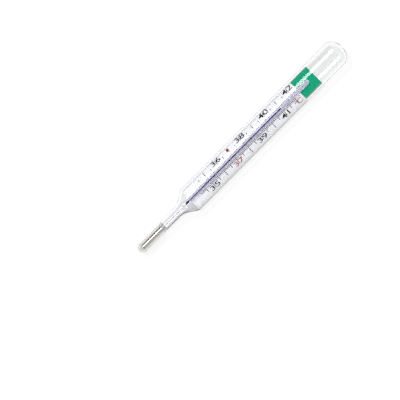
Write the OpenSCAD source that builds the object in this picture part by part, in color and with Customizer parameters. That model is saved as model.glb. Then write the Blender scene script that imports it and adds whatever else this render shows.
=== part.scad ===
// Clinical thermometer of the enclosed-scale kind: a flattened clear glass sheath, drawn down at one end to a
// round neck with the bulb fused to it, and inside it a lens-front capillary in front of a white scale plate.
// It lies on its back with the scale facing up. X runs from the bulb (-X) to the domed end (+X), Y across
// the scale and Z up out of it. The origin is under the middle of the thermometer, on the surface it lies on.

/* [Scale] */
// Length of one degree Celsius along the scale
degree_pitch = 7.5; // [6:0.1:9]
// Lowest reading that has a graduation, in degrees Celsius
lowest_mark = 34.1; // [33.5:0.1:35]
// Highest reading that has a graduation, in degrees Celsius
highest_mark = 42; // [41.5:0.5:43]
// Reading that the liquid column shows, in degrees Celsius below the highest graduation
shown_reading = 1; // [0.5:0.1:5]

/* [Graduations] */
// Width of one graduation line
mark_width = 0.25; // [0.1:0.05:0.4]
// Depth to which the lines are etched into the plate
mark_depth = 0.06; // [0.02:0.01:0.2]
// Distance from the middle of the scale to the inner end of the lines
mark_start = 1; // [0.6:0.1:1.5]
// Length of a tenth-degree line
tenth_length = 1.2; // [0.8:0.1:1.4]
// Length of a half-degree line
half_length = 2.4; // [1.6:0.1:2.8]
// Length of a whole-degree line
whole_length = 3.5; // [3:0.1:3.6]

/* [Sheath] */
// Width of the flattened body, across the scale
sheath_width = 12.4; // [11.5:0.1:16]
// Depth of the flattened body, front to back
sheath_depth = 8; // [7.5:0.1:11]
// Fullness of the oval's front: 2 is an ellipse, more is squarer
sheath_squareness = 2.5; // [2.3:0.1:3.5]
// Fullness of the oval's back, which is flatter
back_squareness = 3; // [2.5:0.1:4]
// Glass thickness of the flattened body
sheath_wall = 0.6; // [0.5:0.05:0.9]
// Length of the domed end
dome_length = 4.8; // [3:0.1:8]
// Glass thickness at the tip of the dome
dome_wall = 0.8; // [0.6:0.1:2]
// Length of the body from the green band to the tip of the dome
end_space = 17.6; // [12:0.1:25]
// Height taken off the back by the narrow flat that the thermometer lies on
land_depth = 0.06; // [0.03:0.01:0.15]

/* [Neck] */
// Outside diameter of the round neck
neck_diameter = 5.2; // [4.9:0.1:6]
// Glass thickness of the neck
neck_wall = 0.85; // [0.6:0.05:1]
// Length of the straight neck
neck_length = 6.7; // [4:0.1:12]
// Length of the shoulder between the neck and the body
shoulder_length = 9.8; // [7:0.1:15]
// How late the shoulder flares out: 1 is even, more keeps it slim for longer
shoulder_bias = 1.7; // [1:0.1:2.2]

/* [Bulb] */
// Length of the bulb from its tip to the collar
bulb_length = 14.6; // [10:0.1:22]
// Outside diameter of the bulb
bulb_diameter = 4.5; // [4.2:0.1:4.9]
// Glass thickness of the bulb's side
bulb_wall = 0.4; // [0.3:0.05:0.55]
// Length of the bulb's rounded tip
bulb_tip = 2.4; // [1.5:0.1:4]
// Glass thickness at the bulb's tip
bulb_tip_wall = 0.7; // [0.4:0.05:1.2]
// Length of the fused collar between the bulb and the neck
collar_length = 1.3; // [0.8:0.1:2.5]
// Height of the collar's bead above the bulb
collar_bead = 0.25; // [0.1:0.05:0.5]

/* [Stem] */
// How far the stem's foot reaches below the collar into the bulb
stem_foot = 0.5; // [0.2:0.1:1.5]
// Diameter of the fine bore through the stem
stem_bore = 0.2; // [0.14:0.02:0.3]
// Length over which the stem's top narrows to the capillary
stem_taper = 3.2; // [2:0.1:4.5]
// Length of the swelling in the bore at the constriction
chamber_length = 2.2; // [1.6:0.1:3]
// Diameter of the swelling in the bore at the constriction
chamber_diameter = 0.7; // [0.6:0.05:1.2]
// Length of stem between the swelling and the capillary
chamber_neck = 0.45; // [0.2:0.05:1]
// Length of the tail on which the glass pin stands in the stem's bore
pin_tail = 0.6; // [0.3:0.1:1.5]

/* [Capillary] */
// Width of the capillary tube across the scale
capillary_width = 2.3; // [2:0.1:2.8]
// Distance from the bore's axis to the flat back of the capillary
capillary_back = 0.6; // [0.5:0.05:0.8]
// Diameter of the bore behind the scale's lens, drawn wide enough to be seen
bore_diameter = 0.3; // [0.2:0.05:0.5]
// Length of the capillary's closed, pointed tip
capillary_tip = 2; // [1:0.1:3]
// Distance that the capillary reaches over the green band
capillary_overlap = 6.5; // [4:0.1:8.5]
// Length of solid glass between the end of the bore and the capillary's tip
bore_end_wall = 1; // [0.8:0.1:2]
// Length of the rigid head of the liquid column
head_length = 4.5; // [2:0.1:5]
// Width of the tinted strip fused to the back of the capillary
strip_width = 1.4; // [0.8:0.1:1.6]
// Thickness of the tinted strip
strip_thickness = 0.1; // [0.05:0.05:0.2]

/* [Scale plate] */
// Thickness of the scale plate
plate_thickness = 0.3; // [0.2:0.05:0.6]
// Length of the plate from its foot to the lowest graduation
foot_margin = 5.65; // [5.3:0.05:9]
// Length of the plate from the highest graduation to the green band
head_margin = 3.5; // [1:0.1:8]
// Size of the plate's cut-off lower corners
plate_corner = 0.8; // [0.3:0.1:1.5]
// How far the plate's foot reaches into the shoulder
plate_setback = 0.4; // [0.1:0.1:0.8]
// Length of the green band that is folded over the top of the plate
band_length = 10; // [9:0.1:14]
// Thickness of the green band's sheet
band_sheet = 0.1; // [0.05:0.05:0.2]
// Distance from the band's sides to the plate's sides
band_inset = 0.1; // [0.05:0.05:0.5]

/* [Clearances] */
// Gap between the plate's sides and the inside of the sheath
plate_clearance = 0.15; // [0.1:0.05:0.3]
// Gap between the stem and the inside of the neck
stem_clearance = 0.15; // [0.1:0.05:0.25]
// Gap between sheets that lie on each other
sheet_clearance = 0.05; // [0.02:0.01:0.1]
// Gap between a liquid and the glass that holds it
liquid_clearance = 0.03; // [0.02:0.01:0.05]
// Gap around the glass pin in the constriction
pin_clearance = 0.12; // [0.1:0.01:0.2]

/* [Hidden] */

$fn = 64;
ring_points = 48;
shoulder_steps = 12;
dome_steps = 8;
arc_steps = 10;
cut_margin = 1;
marks_per_degree = 10;

// Stations along X, from the tip of the bulb to the tip of the dome
scale_span = (highest_mark - lowest_mark) * degree_pitch;
overall_length = bulb_length + collar_length + neck_length + shoulder_length - plate_setback
    + foot_margin + scale_span + head_margin + band_length + end_space;
x_tip = -overall_length / 2;
x_collar = x_tip + bulb_length;
x_neck = x_collar + collar_length;
x_shoulder = x_neck + neck_length;
x_body = x_shoulder + shoulder_length;
x_plate = x_body - plate_setback;
x_first_mark = x_plate + foot_margin;
x_band = x_first_mark + scale_span + head_margin;
x_band_end = x_band + band_length;
x_dome_end = x_band_end + end_space;
x_dome = x_dome_end - dome_length;
x_plate_end = x_band_end - band_sheet - sheet_clearance;
x_reading = x_first_mark + scale_span - shown_reading * degree_pitch;
x_head = x_reading - head_length;

// Heights of the layers, measured from the axis of the bore
axis_height = sheath_depth / 2 - land_depth;
z_strip_back = -capillary_back - strip_thickness;
z_band_front = z_strip_back - sheet_clearance;
z_plate_front = z_band_front - band_sheet - sheet_clearance;
z_plate_back = z_plate_front - plate_thickness;
z_band_back = z_plate_back - sheet_clearance - band_sheet;

// Half sizes of the sheath's sections, outside and inside
neck_radius = neck_diameter / 2;
body_half_width = sheath_width / 2;
body_half_depth = sheath_depth / 2;
bore_half_width = body_half_width - sheath_wall;
bore_half_depth = body_half_depth - sheath_wall;

// The plate is as wide as the sheath's bore is at the level of the plate's back
plate_level = -z_plate_back / bore_half_depth;
bore_share = pow(1 - pow(plate_level, back_squareness), 1 / back_squareness);
plate_half_width = bore_half_width * bore_share - plate_clearance;

// Stem and constriction: the stem's foot is held in the collar, and its top carries the capillary
stem_radius = neck_radius - neck_wall - stem_clearance;
stem_bore_radius = stem_bore / 2;
x_stem = x_collar - stem_foot;
x_stem_top = x_plate;
chamber_radius = chamber_diameter / 2;
x_chamber = x_stem_top - chamber_neck - chamber_length / 2;
x_chamber_start = x_chamber - chamber_length / 2;

// Capillary: a round-fronted tube with a flat back
capillary_radius = capillary_width / 2;
bore_radius = bore_diameter / 2;
x_capillary_end = x_band + capillary_overlap;
liquid_radius = bore_radius - liquid_clearance;
x_column = x_stem_top + liquid_clearance;

// Where the capillary's tip has narrowed to a radius, and with it where the strip on its flat back ends
function tip_station(radius) =
    x_capillary_end - capillary_tip * (1 - sqrt(max(0, 1 - pow(radius / capillary_radius, 2))));
x_strip_side = tip_station(norm([capillary_back, strip_width / 2]));
x_strip_end = tip_station(capillary_back);

// How far the shoulder has opened at a share t of its length: 0 at the neck, 1 at the body
function shoulder_opening(t) =
    let (late = pow(t, shoulder_bias))
    late * late * (3 - 2 * late);

// Ring of the sheath: [x, half width, half depth, front squareness, back squareness] at a share t of the
// shoulder's length, drawn in by the given wall at the neck and at the body
function shoulder_ring(t, neck_inset, body_inset) =
    let (open = shoulder_opening(t), inset = neck_inset + (body_inset - neck_inset) * open)
    [
        x_shoulder + t * shoulder_length,
        neck_radius + (body_half_width - neck_radius) * open - inset,
        neck_radius + (body_half_depth - neck_radius) * open - inset,
        2 + (sheath_squareness - 2) * open,
        2 + (back_squareness - 2) * open
    ];

// Ring of the dome at an angle from its foot (0) to its tip (90)
function dome_ring(angle, length, inset) = [
    x_dome + length * sin(angle),
    (body_half_width - inset) * cos(angle),
    (body_half_depth - inset) * cos(angle),
    sheath_squareness,
    back_squareness
];

// One wall of the sheath from the neck's end to the last ring below the dome's tip
function wall_rings(neck_inset, body_inset, dome) = concat(
    [[x_neck, neck_radius - neck_inset, neck_radius - neck_inset, 2, 2]],
    [for (i = [0 : shoulder_steps]) shoulder_ring(i / shoulder_steps, neck_inset, body_inset)],
    [for (i = [0 : dome_steps - 1]) dome_ring(90 * i / dome_steps, dome, body_inset)]
);

function reversed(list) = [for (i = [len(list) - 1 : -1 : 0]) list[i]];

// A point of the rounded oval: the exponent bends the circle towards a rectangle
function bent(value, squareness) = sign(value) * pow(abs(value), 2 / squareness);
function ring_loop(ring) = [
    for (k = [0 : ring_points - 1])
        let (angle = 360 * k / ring_points, squareness = angle < 180 ? ring[3] : ring[4])
        [ring[0], ring[1] * bent(cos(angle), squareness), ring[2] * bent(sin(angle), squareness)]
];

// Closed skin over a row of rings, with a point at each end
module ring_skin(rings, start_point, end_point) {
    loops = [for (ring = rings) each ring_loop(ring)];
    first = 1;
    last = first + (len(rings) - 1) * ring_points;
    final = len(loops) + 1;
    polyhedron(
        points = concat([start_point], loops, [end_point]),
        faces = concat(
            [for (k = [0 : ring_points - 1]) [0, first + k, first + (k + 1) % ring_points]],
            [
                for (j = [0 : len(rings) - 2], k = [0 : ring_points - 1])
                    let (a = first + j * ring_points + k, b = first + j * ring_points + (k + 1) % ring_points)
                    each [[a, a + ring_points, b + ring_points], [a, b + ring_points, b]]
            ],
            [for (k = [0 : ring_points - 1]) [last + k, final, last + (k + 1) % ring_points]]
        )
    );
}

// Turns a revolved profile, drawn upright, so that its axis lies along the bore
module along_bore() {
    translate([0, 0, axis_height])
        rotate([0, 90, 0])
            rotate_extrude()
                children();
}

// Quarter of an ellipse as [radius, x] points, from the axis at the bulb's end out to the full radius
function tip_arc(radius, x_end, length) = [
    for (i = [0 : arc_steps])
        let (angle = 90 * i / arc_steps)
        [radius * sin(angle), x_end + length * (1 - cos(angle))]
];

// The same quarter, from the full radius in to the axis at the dome's end
function crown_arc(radius, x_end, length) = [
    for (i = [0 : arc_steps])
        let (angle = 90 * i / arc_steps)
        [radius * cos(angle), x_end - length * (1 - sin(angle))]
];

// Clear glass envelope: one drawn tube, open at the neck and closed by the dome
module outer_sheath() {
    inside = reversed(wall_rings(neck_wall, sheath_wall, dome_length - dome_wall));
    outside = wall_rings(0, 0, dome_length);
    color([0.93, 0.95, 0.97, 0.35])
        difference() {
            translate([0, 0, axis_height])
                ring_skin(
                    concat(inside, outside),
                    [x_dome_end - dome_wall, 0, 0],
                    [x_dome_end, 0, 0]
                );
            translate([x_neck, -body_half_width, -cut_margin])
                cube([x_dome_end - x_neck, sheath_width, cut_margin]);
        }
}

// Bulb tube with its rounded tip, and the fused collar that holds the stem's foot and meets the neck
module bulb_glass() {
    radius = bulb_diameter / 2;
    inner_radius = radius - bulb_wall;
    mouth_radius = stem_radius + liquid_clearance;
    bead = [
        for (i = [0 : arc_steps])
            let (angle = 180 * i / arc_steps)
            [radius + collar_bead * sin(angle), x_collar + collar_length * (1 - cos(angle)) / 2]
    ];
    color([0.9, 0.92, 0.93, 0.4])
        along_bore()
            polygon(concat(
                tip_arc(radius, x_tip, bulb_tip),
                bead,
                [[mouth_radius, x_neck], [mouth_radius, x_stem], [inner_radius, x_stem]],
                reversed(tip_arc(inner_radius, x_tip + bulb_tip_wall, bulb_tip))
            ));
}

// Liquid metal that fills the bulb, with its thread through the stem as far as the constriction
module bulb_liquid() {
    radius = bulb_diameter / 2 - bulb_wall - liquid_clearance;
    thread_radius = stem_bore_radius - liquid_clearance;
    x_top = x_stem - liquid_clearance;
    x_thread_top = x_chamber_start - pin_tail - liquid_clearance;
    color([0.72, 0.72, 0.71])
        along_bore()
            polygon(concat(
                tip_arc(radius, x_tip + bulb_tip_wall + liquid_clearance, bulb_tip),
                [[radius, x_top], [thread_radius, x_top], [thread_radius, x_thread_top], [0, x_thread_top]]
            ));
}

// Thick-walled stem through the neck, with the swelling in its bore where the column breaks on cooling
module stem_tube() {
    chamber = [
        for (i = [0 : 2 * arc_steps])
            let (angle = 90 * i / arc_steps)
            [
                stem_bore_radius + (chamber_radius - stem_bore_radius) * sin(angle),
                x_chamber + chamber_length / 2 * cos(angle)
            ]
    ];
    color([0.92, 0.93, 0.95, 0.5])
        along_bore()
            polygon(concat(
                [
                    [stem_bore_radius, x_stem],
                    [stem_radius, x_stem],
                    [stem_radius, x_stem_top - stem_taper],
                    [capillary_radius, x_stem_top],
                    [stem_bore_radius, x_stem_top]
                ],
                chamber
            ));
}

// Glass pin that narrows the bore: a spindle in the swelling, on a tail that stands in the stem's bore
module contraction_pin() {
    tail_radius = stem_bore_radius - liquid_clearance;
    head_radius = chamber_radius - pin_clearance;
    half_head = chamber_length / 2 - pin_clearance;
    head = [
        for (i = [0 : 2 * arc_steps - 1])
            let (angle = 90 * i / arc_steps)
            [head_radius * sin(angle), x_chamber + half_head * cos(angle)]
    ];
    spindle = [for (point = head) if (point[0] > tail_radius || point[1] > x_chamber) point];
    x_tail = x_chamber_start - pin_tail;
    x_join = x_chamber - half_head * sqrt(1 - pow(tail_radius / head_radius, 2));
    color([0.85, 0.86, 0.9, 0.6])
        along_bore()
            polygon(concat(spindle, [[tail_radius, x_join], [tail_radius, x_tail], [0, x_tail]]));
}

// Lens-front capillary: a round tube with a flat back, a true bore and a closed, pointed tip
module capillary_tube() {
    tube_length = x_capillary_end - x_stem_top;
    color([0.86, 0.85, 0.93, 0.5])
        difference() {
            intersection() {
                along_bore()
                    polygon(concat(
                        [[0, x_stem_top], [capillary_radius, x_stem_top]],
                        crown_arc(capillary_radius, x_capillary_end, capillary_tip)
                    ));
                translate([x_stem_top - cut_margin, -capillary_width, axis_height - capillary_back])
                    cube([tube_length + 2 * cut_margin, 2 * capillary_width, capillary_width]);
            }
            translate([x_stem_top - cut_margin, 0, axis_height])
                rotate([0, 90, 0])
                    cylinder(r = bore_radius, h = tube_length - bore_end_wall + cut_margin);
        }
}

// Tinted strip fused along the capillary's flat back, from the foot of the scale to a point at the tip
module tinted_strip() {
    half_width = strip_width / 2;
    color([0.78, 0.76, 0.9])
        translate([0, 0, axis_height + z_strip_back])
            linear_extrude(strip_thickness)
                polygon([
                    [x_stem_top, -half_width], [x_strip_side, -half_width], [x_strip_end, 0],
                    [x_strip_side, half_width], [x_stem_top, half_width]
                ]);
}

// Liquid column in the bore, from the constriction up to the head that moves with the reading
module liquid_column() {
    color([0.35, 0.32, 0.52])
        translate([x_column, 0, axis_height])
            rotate([0, 90, 0])
                cylinder(r = liquid_radius, h = x_head - liquid_clearance - x_column);
}

// Moving head of the liquid column, with its rounded end at the reading
module column_head() {
    color([0.3, 0.27, 0.5])
        along_bore()
            polygon(concat(
                [[0, x_head], [liquid_radius, x_head]],
                crown_arc(liquid_radius, x_reading, liquid_radius)
            ));
}

// One graduation line on each side of the middle, as a cut into the front of the plate
module graduation(x, length) {
    middle = mark_start + length / 2;
    for (side = [-1, 1])
        translate([x - mark_width / 2, side * middle - length / 2, z_plate_front - mark_depth])
            cube([mark_width, length, mark_depth + cut_margin]);
}

// Length of the line at a reading given in tenths of a degree
function line_length(tenth) =
    tenth % marks_per_degree == 0 ? whole_length :
    tenth % (marks_per_degree / 2) == 0 ? half_length :
    tenth_length;

// White scale plate with its etched graduations and cut-off lower corners
module scale_plate() {
    count = round((highest_mark - lowest_mark) * marks_per_degree);
    first_tenth = round(lowest_mark * marks_per_degree);
    mark_pitch = degree_pitch / marks_per_degree;
    color([0.95, 0.95, 0.97])
        translate([0, 0, axis_height])
            difference() {
                translate([0, 0, z_plate_back])
                    linear_extrude(plate_thickness)
                        polygon([
                            [x_plate, -plate_half_width + plate_corner],
                            [x_plate + plate_corner, -plate_half_width],
                            [x_plate_end, -plate_half_width],
                            [x_plate_end, plate_half_width],
                            [x_plate + plate_corner, plate_half_width],
                            [x_plate, plate_half_width - plate_corner]
                        ]);
                for (i = [0 : count])
                    graduation(x_first_mark + i * mark_pitch, line_length(first_tenth + i));
            }
}

// Green band: a thin sheet folded over the top end of the plate, in front of it and behind it
module green_band() {
    half_width = plate_half_width - band_inset;
    color([0.03, 0.65, 0.5])
        translate([0, half_width, axis_height])
            rotate([90, 0, 0])
                linear_extrude(2 * half_width)
                    polygon([
                        [x_band, z_band_front],
                        [x_band_end, z_band_front],
                        [x_band_end, z_band_back],
                        [x_band, z_band_back],
                        [x_band, z_band_back + band_sheet],
                        [x_band_end - band_sheet, z_band_back + band_sheet],
                        [x_band_end - band_sheet, z_band_front - band_sheet],
                        [x_band, z_band_front - band_sheet]
                    ]);
}

outer_sheath();
bulb_glass();
bulb_liquid();
stem_tube();
contraction_pin();
capillary_tube();
tinted_strip();
liquid_column();
column_head();
scale_plate();
green_band();
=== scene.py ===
"""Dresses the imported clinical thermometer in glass, liquid metal and a printed scale, and sets its stage."""

from math import acos, ceil, copysign, cos, hypot, pi, radians, sin, sqrt, tau
from typing import NamedTuple

import bmesh
import bpy
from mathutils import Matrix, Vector


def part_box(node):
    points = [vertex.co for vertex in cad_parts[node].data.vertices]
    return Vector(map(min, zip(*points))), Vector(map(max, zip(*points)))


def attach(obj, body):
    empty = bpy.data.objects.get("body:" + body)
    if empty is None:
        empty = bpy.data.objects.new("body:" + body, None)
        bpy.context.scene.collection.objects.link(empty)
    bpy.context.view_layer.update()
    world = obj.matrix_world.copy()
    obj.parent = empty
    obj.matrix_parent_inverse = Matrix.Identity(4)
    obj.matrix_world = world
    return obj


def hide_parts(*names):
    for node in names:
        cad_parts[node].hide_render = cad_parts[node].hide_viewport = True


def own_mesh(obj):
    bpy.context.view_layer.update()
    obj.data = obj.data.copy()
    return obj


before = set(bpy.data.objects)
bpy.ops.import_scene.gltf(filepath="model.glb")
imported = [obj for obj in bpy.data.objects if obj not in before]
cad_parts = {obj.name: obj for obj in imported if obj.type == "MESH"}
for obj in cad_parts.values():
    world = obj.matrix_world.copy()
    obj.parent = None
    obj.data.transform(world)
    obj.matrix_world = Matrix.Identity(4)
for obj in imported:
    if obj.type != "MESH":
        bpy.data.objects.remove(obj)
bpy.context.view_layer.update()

bl_info = {
    "name": "Clinical thermometer",
    "version": (1, 0, 0),
    "blender": (4, 5, 0),
    "location": "View3D > Sidebar > Thermometer",
    "description": "Dresses a packed clinical thermometer in glass, liquid metal and a printed scale",
    "category": "Object",
}

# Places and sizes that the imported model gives
MM = 0.001
BODY = "thermometer"
HEAD = "column_head"
SHEATH_LOW, SHEATH_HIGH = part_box("outer_sheath")
BULB_LOW, BULB_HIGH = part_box("bulb_glass")
_, LIQUID_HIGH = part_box("bulb_liquid")
STEM_LOW, STEM_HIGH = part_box("stem_tube")
PIN_LOW, PIN_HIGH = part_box("contraction_pin")
TUBE_LOW, TUBE_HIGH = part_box("capillary_tube")
STRIP_LOW, STRIP_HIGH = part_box("tinted_strip")
COLUMN_LOW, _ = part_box("liquid_column")
TIP_LOW, TIP_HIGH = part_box("column_head")
PLATE_LOW, PLATE_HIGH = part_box("scale_plate")
BAND_LOW, BAND_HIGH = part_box("green_band")
AXIS = (BULB_LOW.z + BULB_HIGH.z) / 2

# Fineness of the meshes
SHEATH_POINTS = 160
SHOULDER_STEPS = 48
DOME_STEPS = 40
LATHE_STEPS = 96
THREAD_STEPS = 32
ARC_STEPS = 16
TEXT_STEPS = 6
FOLD_STEPS = 6
MERGE_DISTANCE = 1e-6
CUT_TOLERANCE = 1e-8
SMOOTH_ANGLE = radians(35)

# Exponent of a plain ellipse: a section of the sheath with a larger one is squarer
ELLIPSE = 2
# The print: tenth lines between two longer ones, and the reading of normal body temperature
LINE_RUN = 4
NORMAL = 37
# The degree sign and the unit's letter, as shares of the figures' spread, row, height and width
SIGN_SHIFT, SIGN_ROW, SIGN_SIZE = 0.6, 0.82, 0.4
LETTER_SHIFT, LETTER_WIDTH = 0.7, 0.75
# The drop's round end as a share of its height, and the strip's rounding as a share of its thickness
DROP_ROUND = 0.4
STRIP_ROUND = 0.3

# Glass: its refraction, fine waves, and where the darker rim of its shadow starts and is full
GLASS_IOR = 1.5
RIPPLE = 2e-7
RIM_START, RIM_FULL = 0.15, 0.7
# How far grain takes a roughness down and up
SMOOTHER, ROUGHER = 0.8, 1.25
# Studio: from the white horizon to the dim ceiling, and from the middle to the white ends
HORIZON, OVERHEAD = 0.2, 0.75
MIDDLE, ENDS = 0.35, 0.75
# Cards: their tints, and the angles from overhead and places along the bulb's pale card; the cool cards are
# painted shade, dark sheets that only glass sees
WARM_CARD, COOL_SHADE_CARD = (1.0, 0.99, 0.965, 1.0), (0.98, 0.975, 1.0, 1.0)
PALE_HIGH, PALE_LOW = radians(4), radians(62)
PALE_START, PALE_END = -0.22, -0.03
# The floor's gap under the thermometer
FLOOR_GAP = 0.02 * MM


def srgb(red, green, blue):
    """A colour given in display values from 0 to 255, as linear red, green, blue and alpha."""
    shares = [value / 255 for value in (red, green, blue)]
    linear = [s / 12.92 if s <= 0.04045 else ((s + 0.055) / 1.055) ** 2.4 for s in shares]
    return (*linear, 1.0)


def measure(name, description, default, **kind):
    """A property that holds a number of some kind."""
    return bpy.props.FloatProperty(name=name, description=description, default=default, **kind)


def number(name, description, default):
    """A property that holds a plain number."""
    return measure(name, description, default, min=0)


def length(name, description, default):
    """A property that holds a length, given in millimetres."""
    return measure(name, description, default * MM, min=0, precision=5, unit="LENGTH")


def place(name, description, default):
    """A property that holds a place along an axis, given in millimetres."""
    return measure(name, description, default * MM, unit="LENGTH")


def angle(name, description, default):
    """A property that holds an angle, given in degrees."""
    return measure(name, description, radians(default), subtype="ANGLE")


def colour(name, description, default):
    """A property that holds a colour."""
    return bpy.props.FloatVectorProperty(
        name=name, description=description, default=default, size=4, min=0, max=1, subtype="COLOR"
    )


class GlassSizes(bpy.types.PropertyGroup):
    """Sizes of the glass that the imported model's boxes don't give."""

    squareness: number("Squareness", "Fullness of the sheath's front: 2 is an ellipse, more is squarer", 2.5)
    back_squareness: number("Back squareness", "Fullness of the sheath's flatter back", 3.0)
    sheath_wall: length("Sheath wall", "Glass thickness of the flattened body", 0.6)
    neck_radius: length("Neck radius", "Outside radius of the round neck", 2.6)
    neck_wall: length("Neck wall", "Glass thickness of the neck", 0.85)
    neck_length: length("Neck length", "Length of the straight neck", 6.7)
    shoulder_length: length("Shoulder length", "Length from the neck to the full body", 9.8)
    shoulder_bias: number("Shoulder bias", "How late the shoulder flares out", 1.7)
    dome_length: length("Dome length", "Length of the domed end", 4.8)
    dome_wall: length("Dome wall", "Glass thickness at the tip of the dome", 0.8)
    bulb_radius: length("Bulb radius", "Outside radius of the bulb", 2.25)
    bulb_wall: length("Bulb wall", "Glass thickness of the bulb's side", 0.4)
    bulb_tip: length("Bulb tip", "Length of the bulb's rounded tip", 2.4)
    bulb_tip_wall: length("Bulb tip wall", "Glass thickness at the bulb's tip", 0.7)
    collar_length: length("Collar length", "Length of the fused collar", 1.3)
    stem_bore: length("Stem bore", "Radius of the fine bore through the stem", 0.1)
    stem_taper: length("Stem taper", "Length over which the stem narrows to the capillary", 3.2)
    chamber_length: length("Chamber length", "Length of the swelling in the stem's bore", 2.2)
    chamber_radius: length("Chamber radius", "Radius of the swelling in the stem's bore", 0.35)
    chamber_neck: length("Chamber neck", "Length of stem between the swelling and the capillary", 0.45)
    bore: length("Capillary bore", "Radius of the bore behind the scale's lens", 0.165)
    bore_end_wall: length("Bore end wall", "Solid glass between the bore's end and the tip", 1.0)
    capillary_tip: length("Capillary tip", "Length of the capillary's pointed tip", 2.0)
    contact: length("Contact", "How far a liquid reaches into the glass that it wets", 0.004)


class ScaleSizes(bpy.types.PropertyGroup):
    """Sizes of the scale plate, its printing and the band."""

    degree: length("Degree", "Length of one degree Celsius along the scale", 7.5)
    lowest: number("Lowest mark", "Lowest reading that has a line, in degrees Celsius", 34.1)
    highest: number("Highest mark", "Highest reading that has a line, in degrees Celsius", 42.0)
    foot_margin: length("Foot margin", "From the plate's foot to the lowest line", 5.65)
    corner: length("Plate corner", "Size of the plate's cut-off lower corners", 0.8)
    plate_edge: length("Plate edge", "Rounding of the plate's edges", 0.06)
    line_width: length("Line width", "Width of a tenth-degree line", 0.25)
    main_width: length("Main line width", "Width of a half or whole degree line", 0.3)
    line_start: length("Line start", "From the middle of the scale to the lines", 1.0)
    tenth: length("Tenth line", "Length of a tenth-degree line", 1.2)
    half: length("Half line", "Length of a half-degree line", 2.4)
    whole: length("Whole line", "Length of a whole-degree line", 3.5)
    setting: number("Setting mark", "Reading whose line runs on to the plate's edge on one side", 38.0)
    ink: length("Ink", "Thickness of the print above the plate", 0.02)
    ink_root: length("Ink root", "Depth of the print in the plate's surface", 0.03)
    figure_height: length("Figure height", "Height of the figures", 2.25)
    figure_width: number("Figure width", "Widening of the figures", 1.75)
    figure_weight: number("Figure weight", "Thickening of the figures' strokes", 0.008)
    figure_spread: length("Figure spread", "From a whole line to the middle of a figure beside it", 1.45)
    odd_row: length("Odd row", "From the middle of the scale to the middle of the odd figures", 3.54)
    even_row: length("Even row", "From the middle of the scale to the middle of the even figures", 3.9)
    drop_height: length("Drop height", "Height of the red drop at normal body temperature", 1.7)
    band_sheet: length("Band sheet", "Thickness of the band's sheet", 0.1)
    band_fold: length("Band fold", "Radius of the band's fold over the plate's end", 0.12)


class Finishes(bpy.types.PropertyGroup):
    """Colours of the pieces and the floor."""

    sheath: colour("Sheath glass", "Tint of the clear sheath", (0.985, 0.99, 0.99, 1))
    bulb: colour("Bulb glass", "Tint of the bulb's glass", (0.98, 0.98, 0.97, 1))
    capillary: colour("Capillary glass", "Tint of the drawn capillary", (0.97, 0.965, 0.99, 1))
    liquid: colour("Liquid metal", "Liquid metal in the bulb", (0.8, 0.79, 0.77, 1))
    # The thread's dark violet is painted shade: it stands for the dark that the silvery liquid metal mirrors
    # in the lens
    thread: colour("Thread", "Liquid thread as the lens shows it", srgb(26, 22, 88))
    strip: colour("Tinted strip", "Enamel strip behind the bore", srgb(232, 230, 244))
    plate: colour("Scale plate", "White of the scale plate", srgb(240, 240, 245))
    black_ink: colour("Black ink", "Lines and black figures", srgb(34, 34, 38))
    red_ink: colour("Red ink", "Red figures and unit", srgb(178, 94, 96))
    drop: colour("Drop", "Red drop at normal body temperature", srgb(150, 14, 36))
    band: colour("Band", "Green band over the plate's end", srgb(2, 160, 120))
    floor: colour("Floor", "Pale floor under the thermometer", (0.9, 0.9, 0.9, 1))


class StageSettings(bpy.types.PropertyGroup):
    """Camera, lamps, cards and studio."""

    view_x: place("View X", "Point under the camera, along", -28.85)
    view_y: place("View Y", "Point under the camera, across", -3.16)
    view_turn: angle("View turn", "Turn of the picture", -45.274)
    view_height: length("View height", "Camera above the scale", 1000)
    lens: number("Lens", "Focal length in millimetres", 202.4)
    lamp_height: length("Lamp height", "Softbox above the scale", 1000)
    lamp_near: length("Lamp near edge", "From the middle of the scale to the softbox", 130)
    lamp_far: length("Lamp far edge", "From the middle of the scale to the softbox's far side", 385)
    lamp_length: length("Lamp length", "Length of the softbox along the thermometer", 900)
    lamp_radiance: number("Lamp radiance", "Brightness of the softbox", 7.4)
    key_angle: angle("Key angle", "Key lamp from overhead", 37)
    key_distance: length("Key distance", "Key lamp from the middle of the scale", 1400)
    key_size: length("Key size", "Width of the key lamp", 120)
    key_light: number("Key light", "Light that the key lamp throws on the scale", 0.5)
    ceiling: number("Ceiling", "Brightness of the studio overhead", 0.08)
    card_white: number("Pale card", "Brightness of the card that the bulb mirrors", 0.55)
    card_reach: length("Pale card reach", "From the middle of the scale to the pale card", 600)
    # The shoulder, side and neck cards are painted shade: dark sheets that cast no shadow and light nothing,
    # which glass shows as dark lines and grey
    card_dark: number("Shoulder card", "Brightness of the far side of the shoulder's card", 0.1)
    card_grey: number("Grey card", "Brightness of the card that shades the lower side of the sheath", 0.62)
    line_level: number("Neck card", "Brightness of the card that lines the lower side of the neck", 0.02)
    line_near: length("Neck card near", "From the middle of the scale to the neck's card", 6)
    line_far: length("Neck card far", "From the middle of the scale to that card's far side", 30)
    line_rise: length("Neck card rise", "Height of that card's far side over the floor", 28)
    flag_near: length("Shoulder card near", "From the middle of the scale to the shoulder's card", 1.5)
    flag_far: length("Other cards far", "From the middle of the scale to the other cards' far side", 14)
    flag_length: length("Shoulder card length", "Length of that card, up to the plate's foot", 7)
    floor_size: length("Floor size", "Width of the floor", 6000)
    floor_glow: number("Floor glow", "Share of the floor's white that no shadow dims", 0.85)
    glass_glow: number("Floor glow in glass", "The same share, for the floor seen through or in glass", 0.75)


class Ring(NamedTuple):
    """Oval section of the sheath: its place along the axis, half sizes, and squareness of front and back."""

    x: float
    half_width: float
    half_depth: float
    front: float
    back: float


# Modelling helpers


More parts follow.
